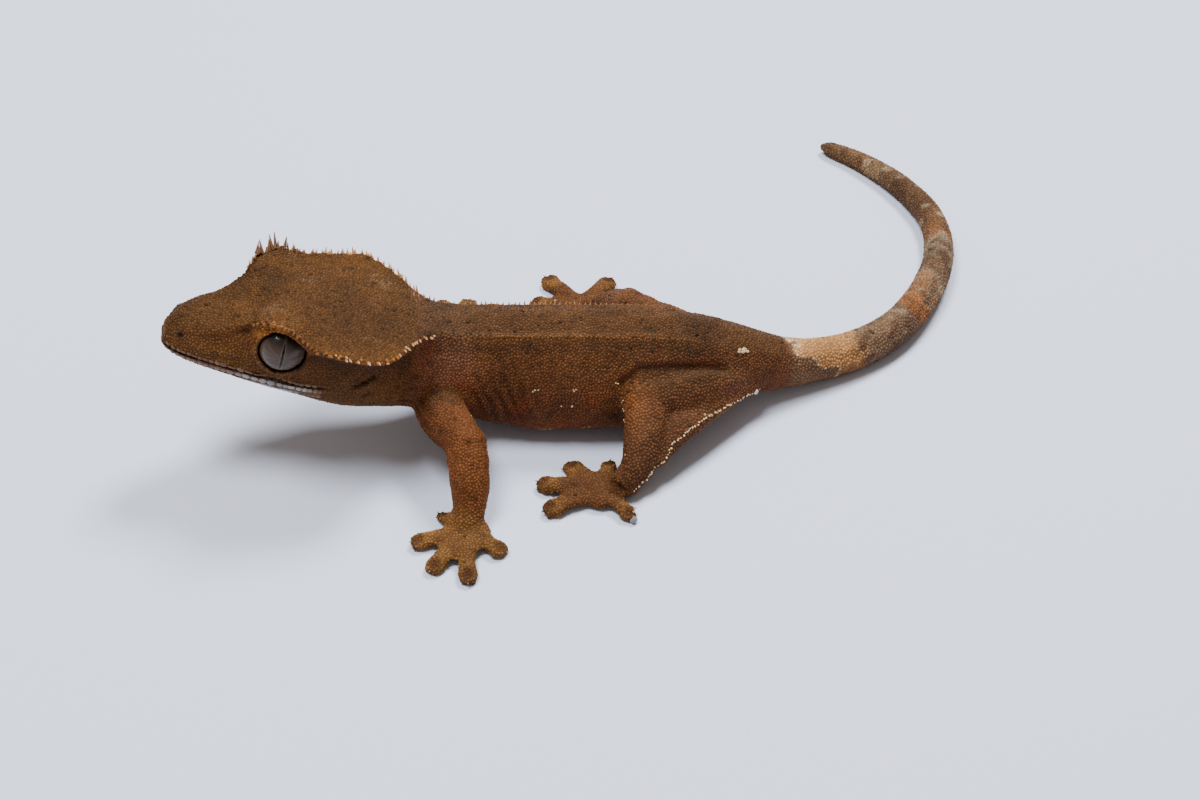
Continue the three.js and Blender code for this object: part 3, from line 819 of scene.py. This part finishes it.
def joined_mesh(name, shape, where, axes, sizes, colours, roots=None):
    """One mesh of a template repeated: axes are three (N, 3) directions, sizes three (N,) lengths."""
    corners, faces = shape
    copies = len(where)
    points = np.repeat(where[:, None, :], len(corners), axis=1)
    for i in range(3):
        points += (corners[None, :, i, None] * sizes[i][:, None, None]) * axes[i][:, None, :]
    mesh = bpy.data.meshes.new(name)
    mesh.vertices.add(copies * len(corners))
    mesh.vertices.foreach_set("co", (points.reshape(-1, 3) * MM).astype(np.float32).ravel())
    all_faces = (faces[None] + (np.arange(copies) * len(corners))[:, None, None]).reshape(-1, 3)
    mesh.loops.add(len(all_faces) * 3)
    mesh.loops.foreach_set("vertex_index", all_faces.astype(np.int32).ravel())
    mesh.polygons.add(len(all_faces))
    mesh.polygons.foreach_set("loop_start", np.arange(0, len(all_faces) * 3, 3, dtype=np.int32))
    mesh.update(calc_edges=True)
    mesh.shade_smooth()
    if colours.ndim == 2:
        colours = np.repeat(colours[:, None, :], len(corners), axis=1)
    paint(mesh, colours.reshape(-1, 3))
    if roots is not None:
        flat = corners[:, :2] * PATCH / 2
        patch = roots[:, None, :] + flat[None]
        uv = mesh.uv_layers.new(name="OFBake")
        uv.data.foreach_set("uv", patch.reshape(-1, 2)[all_faces.ravel()].astype(np.float32).ravel())
    return mesh


PATCH = 0.003


def skin_unwrap():
    """A flat place for each vertex of the skin, from an unwrap of its own shape."""
    bpy.context.view_layer.objects.active = skin
    skin.select_set(True)
    bpy.ops.object.mode_set(mode="EDIT")
    bpy.ops.mesh.select_all(action="SELECT")
    bpy.ops.uv.smart_project(angle_limit=math.radians(66), island_margin=0.002)
    bpy.ops.object.mode_set(mode="OBJECT")
    skin.select_set(False)
    uv = np.empty(len(skin.data.loops) * 2, dtype=np.float32)
    skin.data.uv_layers[0].data.foreach_get("uv", uv)
    loop_vertices = np.empty(len(skin.data.loops), dtype=np.int32)
    skin.data.loops.foreach_get("vertex_index", loop_vertices)
    spots = np.zeros((len(skin.data.vertices), 2))
    spots[loop_vertices] = uv.reshape(-1, 2)
    return spots


skin_uv = skin_unwrap()
skin_tree = KDTree(len(place))
for index, corner in enumerate(place):
    skin_tree.insert(corner, index)
skin_tree.balance()


def nearest_skin(points):
    return np.array([skin_tree.find(point)[1] for point in points])


in_eye = np.zeros(len(place), dtype=bool)
for middle in eye_middles.values():
    in_eye |= np.linalg.norm(place - np.array(middle), axis=1) < EYE_RADIUS + 0.3
skin_in_head = in_head(place)
on_mouth_line = np.abs(skin_in_head[:, 2] - mouth_height(skin_in_head[:, 0])) < 0.12
on_mouth_line &= (skin_in_head[:, 0] < 18) & (skin_normals[:, 2] < 0.8)
bare = in_eye | on_mouth_line
coarse = np.isin(skin_regions, ["leg", "tail"]) & ~bare
fine = ~coarse & ~bare
choose("fine_coat", fine.astype(float))
choose("coarse_coat", coarse.astype(float))

DOME = template(6, 0.66)
PIECE_LIMIT = 12000  # granules in one piece
GRANULE_SPACING = 0.28
LEG_SCALE_SPACING = 0.31
TUBERCLE_SHARE = 0.012
PEPPERED_SHARE = 0.11
PALE_SHARE = 0.0005
# Painted light and shade on each granule: its top is brightened and its rim darkened, as if lit from above
TOP_PAINTED_LIGHT = 1.03
RIM_PAINTED_SHADE = 0.84
BEAD_SINK = 0.03


def lay_coat(name, spacing, selection):
    where, outward = even_points(spacing, selection)
    nearest = nearest_skin(where)
    colours = markings(where, outward, soft[nearest, :3], np.clip(soft[nearest, 3] * 2, 0, 1))
    count = len(where)
    shade = rng.normal(1.0, 0.12, count).clip(0.6, 1.4)
    colours = colours * shade[:, None]
    width = spacing * rng.normal(0.6, 0.05, count).clip(0.45, 0.78)
    height = spacing * rng.normal(0.27, 0.05, count).clip(0.15, 0.45)
    facing_up = outward[:, 2] > 0.5
    tubercle = (rng.random(count) < TUBERCLE_SHARE) & facing_up
    width[tubercle] *= 1.4
    height[tubercle] *= 1.6
    colours[tubercle] *= 0.4
    spot = where - AIM
    on_back = (spot[:, 0] < 18) & (spot[:, 2] > 9) & facing_up
    peppered = (rng.random(count) < PEPPERED_SHARE) & on_back
    height[peppered] *= 1.3
    colours[peppered] *= 0.5
    pale = (rng.random(count) < PALE_SHARE) & (spot[:, 0] > -20)
    colours[pale] = linear(178, 150, 122)
    # Painted light on the granules' tops and painted shade on their rims
    corner_painted_light_and_shade = np.where(is_top(DOME), TOP_PAINTED_LIGHT, RIM_PAINTED_SHADE)
    tinted_corners = colours[:, None, :] * corner_painted_light_and_shade[None, :, None] * SKIN_DEPTH
    first, second = frames_on(outward, rng.uniform(0, math.tau, count))
    order = np.argsort(where[:, 0])
    for start in range(0, count, PIECE_LIMIT):
        part = order[start:start + PIECE_LIMIT]
        mesh = joined_mesh(
            f"{name}_{start // PIECE_LIMIT}",
            DOME,
            where[part] - outward[part] * BEAD_SINK,
            (first[part], second[part], outward[part]),
            (width[part], width[part], height[part]),
            tinted_corners[part],
            skin_uv[nearest[part]],
        )
        mesh.materials.append(bead_finish)
        new_piece(mesh.name, mesh)


lay_coat("granules", GRANULE_SPACING, "fine_coat")
lay_coat("leg_scales", LEG_SCALE_SPACING, "coarse_coat")


# The eyes: a glossy ball with a radial grey iris and an upright slit pupil

PUPIL_HALF_WIDTH = 0.12
PUPIL_HALF_HEIGHT = 1.75


def eye_mesh(side):
    shape = bmesh.new()
    bmesh.ops.create_uvsphere(shape, u_segments=150, v_segments=90, radius=EYE_RADIUS * MM)
    mesh = bpy.data.meshes.new(f"eyeball_{side}")
    shape.to_mesh(mesh)
    shape.free()
    outward = to_left if side == "left" else -to_left
    gaze = (outward - to_back * 0.12 + to_top * 0.08).normalized()
    upright = (to_top - gaze * to_top.dot(gaze)).normalized()
    across = upright.cross(gaze).normalized()
    turn = Matrix((across, upright, gaze)).transposed().to_4x4()
    flat = coordinates(mesh)
    angle = np.arctan2(flat[:, 1], flat[:, 0])
    reach = np.hypot(flat[:, 0], flat[:, 1]) / EYE_RADIUS
    streak = np.zeros(len(flat))
    draws = np.random.default_rng(5)
    for waves in (9, 17, 29, 43, 61, 83):
        wobble = 0.25 * np.sin(reach * draws.uniform(4, 14) + draws.uniform(0, 6))
        streak += np.sin(angle * waves + draws.uniform(0, 6) + wobble * waves * 0.3)
    streak /= 3.0
    iris = linear(76, 61, 51) * (1 + 0.28 * streak[:, None])
    # Painted shade from the brow: the upper part of the iris is darkened
    iris = blend(iris, linear(34, 27, 23), smooth_step(0.1, 0.75, flat[:, 1] / EYE_RADIUS))
    iris = blend(iris, linear(34, 27, 22), smooth_step(0.92, 0.99, reach))
    slit = PUPIL_HALF_WIDTH + 0.02 * np.sin(flat[:, 1] * 9) + 0.015 * np.sin(flat[:, 1] * 23)
    slit *= np.sqrt(np.clip(1 - (flat[:, 1] / PUPIL_HALF_HEIGHT) ** 2, 0, 1))
    off = np.abs(flat[:, 0]) - slit
    iris = blend(iris, linear(120, 106, 96), 0.25 * hump(off, 0.07, 0.06))
    inside = smooth_step(0.03, -0.02, off) * (np.abs(flat[:, 1]) < PUPIL_HALF_HEIGHT)
    iris = blend(iris, linear(6, 5, 5), inside)
    paint(mesh, np.clip(iris, 0.002, 1))
    mesh.transform(turn)
    mesh.transform(Matrix.Translation(eye_middles[side] * MM))
    mesh.shade_smooth()
    return mesh


eye_finish, _, eye_shader = principled("wet_eye", 0.3, 0.1)
eye_tint = eye_finish.node_tree.nodes.new("ShaderNodeAttribute")
eye_tint.attribute_name = "tint"
eye_finish.node_tree.links.new(eye_tint.outputs["Color"], eye_shader.inputs["Base Color"])
eye_shader.inputs["Coat Weight"].default_value = 0.18
eye_shader.inputs["Coat Roughness"].default_value = 0.03
for side in ("left", "right"):
    ball = eye_mesh(side)
    ball.materials.append(eye_finish)
    new_piece(f"eyeball_{side}", ball, [f"eye_{side}"])


# Spines on the brow and crest, and the low row along each side of the back

skin_surface = BVHTree.FromPolygons(
    [vertex.co / MM for vertex in skin.data.vertices],
    [polygon.vertices[:] for polygon in skin.data.polygons],
)


SPINE = template(6, 0.15)
SPINE_ROOT = 0.15  # how deep each spine stands in the skin
spines = {"where": [], "towards": [], "length": [], "radius": [], "root": [], "tip": []}


def add_spine(guess, towards, length, radius, root_colour, tip_colour):
    location, _, _, distance = skin_surface.find_nearest(guess)
    if location is None or distance > 2.5:
        return
    spines["where"].append(location - towards * SPINE_ROOT)
    spines["towards"].append(towards)
    spines["length"].append(length + SPINE_ROOT)
    spines["radius"].append(radius)
    spines["root"].append(root_colour)
    spines["tip"].append(tip_colour)


RIM_GOLD = linear(150, 98, 44)
BARK = linear(98, 64, 34)
PALE_TIP = linear(214, 178, 158)
for side in (1, -1):
    along = 7.8
    while along < 29.5:
        brow = float(hump(along, 10.8, 2.4))
        rear = float(smooth_step(15, 18, along))
        for row in (0, 1):
            if row == 1 and rng.random() > 0.35 + 0.5 * brow:
                continue
            place_along = along + rng.normal(0, 0.12) + 0.25 * row
            width = float(crest_width(place_along)) - 0.45 * row
            height = float(crest_height(place_along)) + 0.15 * row
            guess = from_head(place_along, side * (width + 0.4), height + 0.3)
            lean = rng.normal(0, 0.16)
            towards = to_left * side * (0.75 + 0.5 * rear) + to_top * (1.0 - 0.35 * rear)
            towards = (towards + to_back * (lean - 0.2 * brow)).normalized()
            length = (0.34 + 0.95 * brow + 0.3 * rear) * rng.uniform(0.6, 1.35) * (1 - 0.35 * row)
            radius = 0.16 + 0.1 * brow + 0.04 * rear
            tip_colour = PALE_TIP if rear > 0.5 and rng.random() < 0.6 else RIM_GOLD * 1.1
            if brow > 0.4:
                tip_colour = BARK if side < 0 else RIM_GOLD
            if side > 0:
                length *= 1 - 0.72 * brow
            root_colour = RIM_GOLD if rear > 0.5 or side > 0 else BARK
            add_spine(guess, towards, length, radius, root_colour, tip_colour)
        along += rng.uniform(0.4, 0.6)

BACK_HEIGHT = [(-21.5, 15.4), (-16, 14.2), (0, 13.6), (10, 12.2)]
for side in (1, -1):
    x = -17.0 if side > 0 else -21.3
    while x < 10:
        fade = float(smooth_step(6, -6, x))
        out = float(knots(x, *MIDLINE)) - side * RIDGE_OUT
        guess = aim + Vector((x, out, float(knots(x, *BACK_HEIGHT))))
        towards = Vector((rng.normal(0, 0.15) + 0.2, -side * 0.7, 0.9)).normalized()
        length = (0.1 + 0.28 * fade) * rng.uniform(0.7, 1.3)
        add_spine(guess, towards, length, 0.17, linear(116, 78, 46), linear(156, 112, 70))
        x += rng.uniform(0.5, 0.7)

towards = np.array(spines["towards"])
first, second = frames_on(towards, rng.uniform(0, math.tau, len(towards)))
radius = np.array(spines["radius"])
high = is_top(SPINE)
spine_colours = SKIN_DEPTH * np.where(
    high[None, :, None], np.array(spines["tip"])[:, None, :], np.array(spines["root"])[:, None, :]
)
spine_roots = np.array(spines["where"])
spine_mesh = joined_mesh(
    "crest_spines",
    SPINE,
    spine_roots,
    (first, second, towards),
    (radius, radius, np.array(spines["length"])),
    spine_colours,
    skin_uv[nearest_skin(spine_roots)],
)
spine_mesh.materials.append(spine_finish)
new_piece("crest_spines", spine_mesh)


# Claws: a short point at the end of each toe

CLAW_LENGTH = 0.36
claw_roots, claw_directions = [], []
for palm, toes in FEET:
    for toe in toes:
        out = Vector((toe[0] - palm[0], toe[1] - palm[1], 0)).normalized()
        location, _, _, _ = skin_surface.find_nearest(aim + Vector((*toe, 0.6)) + out * 1.8)
        claw_roots.append(location - out * 0.12)
        claw_directions.append((out + Vector((0, 0, 0.1))).normalized())
claw_directions = np.array(claw_directions)
claw_roots = np.array(claw_roots)
first, second = frames_on(claw_directions, np.zeros(len(claw_directions)))
claw_length = np.full(len(claw_directions), CLAW_LENGTH)
claw_mesh = joined_mesh(
    "claws",
    SPINE,
    claw_roots,
    (first, second, claw_directions),
    (claw_length * 0.35, claw_length * 0.35, claw_length),
    np.repeat(linear(140, 112, 84)[None], len(claw_directions), axis=0),
)
claw_mesh.materials.append(spine_finish)
new_piece("claws", claw_mesh)


# Pale beads: a row down the rear edge of each hind leg, the left knee, the flank, hip, vent and heel

PALE = linear(214, 184, 136)
LEG_EDGE = [
    (17.5, -3.6, 4.2), (16.5, -4.7, 4.5), (15.5, -5.6, 4.7), (14.1, -7.0, 5.1), (11.6, -9.1, 5.2),
    (9.7, -10.9, 4.9), (8.2, -12.3, 4.5), (7.3, -13.9, 3.6), (6.3, -16.0, 2.9),
    (5.2, -18.0, 2.0), (3.9, -19.8, 1.3),
]
KNEE_EDGE = [(2.6, -7.9, 7.9), (2.5, -8.3, 6.4), (2.5, -10.2, 5.3)]
RIGHT_LEG_EDGE = [(x, -3.6 - y, z) for x, y, z in LEG_EDGE]
BEAD_SPACING = 0.3
beads = {"where": [], "normal": [], "size": [], "colour": []}


def add_bead(guess, size, colour, scatter=0.06):
    location, normal, _, distance = skin_surface.find_nearest(Vector(guess) + aim)
    if location is None or distance > 3:
        return
    beads["where"].append(location + Vector(rng.normal(0, scatter, 3)))
    beads["normal"].append(normal)
    beads["size"].append(size * rng.uniform(0.75, 1.2))
    beads["colour"].append(colour * rng.uniform(0.8, 1.1))


def bead_row(route, size):
    route = [Vector(point) for point in route]
    for a, b in zip(route[:-1], route[1:]):
        steps = max(1, round((b - a).length / BEAD_SPACING))
        for i in range(steps):
            if rng.random() < 0.9:
                add_bead(a.lerp(b, i / steps), size, PALE)


bead_row(LEG_EDGE, 0.12)
bead_row(KNEE_EDGE, 0.11)
bead_row(RIGHT_LEG_EDGE, 0.12)
# Each cluster's middle, its number of beads and its spread
CLUSTERS = [
    (16.4, -1.9, 9.3, 20, 0.5), (-7.1, -7.9, 8.5, 3, 0.2), (-3.0, -8.0, 8.6, 4, 0.25),
    (1.8, -7.6, 9.3, 2, 0.1), (-6.5, -7.2, 1.7, 4, 0.4), (-1.6, -7.9, 2.6, 4, 0.4), (-3.5, -8.2, 6.5, 3, 0.5),
]
for x, y, z, count, spread in CLUSTERS:
    for _ in range(count):
        place_in = (x + rng.normal(0, spread), y + rng.normal(0, 0.15), z + rng.normal(0, spread * 0.3))
        add_bead(place_in, 0.15 if count > 9 else 0.1, PALE, 0.03)
for side in (-1, 1):
    add_bead((17.9, 1.4 + side * 4.3, 3.9), 0.5, linear(222, 206, 186), 0)
add_bead((4.0, -20.7, 0.3), 0.6, linear(136, 134, 132), 0)
bead_normals = np.array(beads["normal"])
bead_first, bead_second = frames_on(bead_normals, rng.uniform(0, math.tau, len(bead_normals)))
bead_sizes = np.array(beads["size"])
bead_places = np.array(beads["where"])
bead_mesh = joined_mesh(
    "pale_beads",
    DOME,
    bead_places + bead_normals * 0.03,
    (bead_first, bead_second, bead_normals),
    (bead_sizes, bead_sizes, bead_sizes * 0.9),
    np.array(beads["colour"]),
    skin_uv[nearest_skin(bead_places)],
)
bead_mesh.materials.append(spine_finish)
new_piece("pale_beads", bead_mesh)


# Lip plates: a row above the mouth line and two below it on each side

# Each row's height from the mouth line, its plates' half height, where it starts and where it ends
LIP_ROWS = [(0.38, 0.36, 0.6, 17), (-0.45, 0.56, 0.6, 17.5), (-1.45, 0.5, 8.5, 17.5)]
PLATE_LENGTHS = [(0, 0.5), (6, 0.75), (12, 0.8), (17, 0.55)]
plates = {"where": [], "normal": [], "length": [], "height": [], "colour": []}
for side in (1, -1):
    for row, (offset, tall, first_along, last_along) in enumerate(LIP_ROWS):
        along = first_along
        while along < last_along:
            length = float(knots(along, *PLATE_LENGTHS)) * rng.uniform(0.8, 1.25)
            up = float(mouth_height(along)) + offset
            start = from_head(along, side * 14, up)
            hit, normal, _, _ = skin_surface.ray_cast(start, -to_left * side)
            if hit is not None:
                plates["where"].append(hit)
                plates["normal"].append(normal)
                plates["length"].append(length * 0.56)
                plates["height"].append(tall * 0.75)
                pale = 0.0
                if row:
                    pale = float(smooth_step(6.5, 11, along) * smooth_step(18, 16, along + row))
                shade = linear(112, 82, 62) * (1 - pale) + linear(162, 151, 146) * pale
                plates["colour"].append(shade * rng.uniform(0.7, 1.15))
            along += length
plate_normals = np.array(plates["normal"])
lengthwise = np.array(to_back)[None] - plate_normals * (plate_normals @ np.array(to_back))[:, None]
lengthwise /= np.linalg.norm(lengthwise, axis=1, keepdims=True)
tallwise = np.cross(plate_normals, lengthwise)
PLATE = template(8, 0.78)
# Painted shade on the rims of the lip plates
plate_painted_shade = np.where(is_top(PLATE), 1.0, RIM_PAINTED_SHADE)
plate_colours = np.array(plates["colour"])[:, None, :] * plate_painted_shade[None, :, None]
plate_places = np.array(plates["where"])
plate_mesh = joined_mesh(
    "lip_plates",
    PLATE,
    plate_places - plate_normals * 0.04,
    (lengthwise, tallwise, plate_normals),
    (np.array(plates["length"]), np.array(plates["height"]), np.full(len(plate_normals), 0.13)),
    plate_colours,
    skin_uv[nearest_skin(plate_places)],
)
plate_mesh.materials.append(spine_finish)
new_piece("lip_plates", plate_mesh)


# Floor, light and camera

FLOOR_SIZE = 1.6
FLOOR_COLOUR = (0.665, 0.68, 0.78, 1)
floor_shape = bmesh.new()
bmesh.ops.create_grid(floor_shape, x_segments=2, y_segments=2, size=FLOOR_SIZE)
floor_mesh = bpy.data.meshes.new("floor")
floor_shape.to_mesh(floor_mesh)
floor_shape.free()
floor_piece = bpy.data.objects.new("floor", floor_mesh)
bpy.context.scene.collection.objects.link(floor_piece)
floor_finish, _, floor_shader = principled("pale_table", 0.6, 0.2)
floor_shader.inputs["Base Color"].default_value = FLOOR_COLOUR
floor_mesh.materials.append(floor_finish)


LIGHT_COLOUR = (0.89, 0.96, 1.03)


def soft_light(name, place, size, power):
    lamp = bpy.data.lights.new(name, "AREA")
    lamp.shape = "DISK"
    lamp.size = size
    lamp.energy = power
    lamp.color = LIGHT_COLOUR
    light = bpy.data.objects.new(name, lamp)
    light.location = place
    light.rotation_euler = (-Vector(place)).to_track_quat("-Z", "Y").to_euler()
    bpy.context.scene.collection.objects.link(light)


soft_light("window", (0.19, 0.29, 0.52), 0.19, 5.3)
soft_light("lamp", (-0.16, -0.03, 0.58), 0.25, 4.9)

world = bpy.data.worlds.new("studio")
world.use_nodes = True
world.node_tree.nodes["Background"].inputs["Color"].default_value = (1.0, 0.91, 0.83, 1)
world.node_tree.nodes["Background"].inputs["Strength"].default_value = 0.38
bpy.context.scene.world = world

CAMERA_DISTANCE = 0.2925
CAMERA_RISE = math.radians(42)
lens = bpy.data.cameras.new("camera")
lens.lens = 75
lens.sensor_width = 36
camera = bpy.data.objects.new("camera", lens)
camera.location = aim * MM + CAMERA_DISTANCE * Vector((0, -math.cos(CAMERA_RISE), math.sin(CAMERA_RISE)))
camera.rotation_euler = (math.pi / 2 - CAMERA_RISE, 0, 0)
lens.clip_start = 0.01
bpy.context.scene.collection.objects.link(camera)
bpy.context.scene.camera = camera
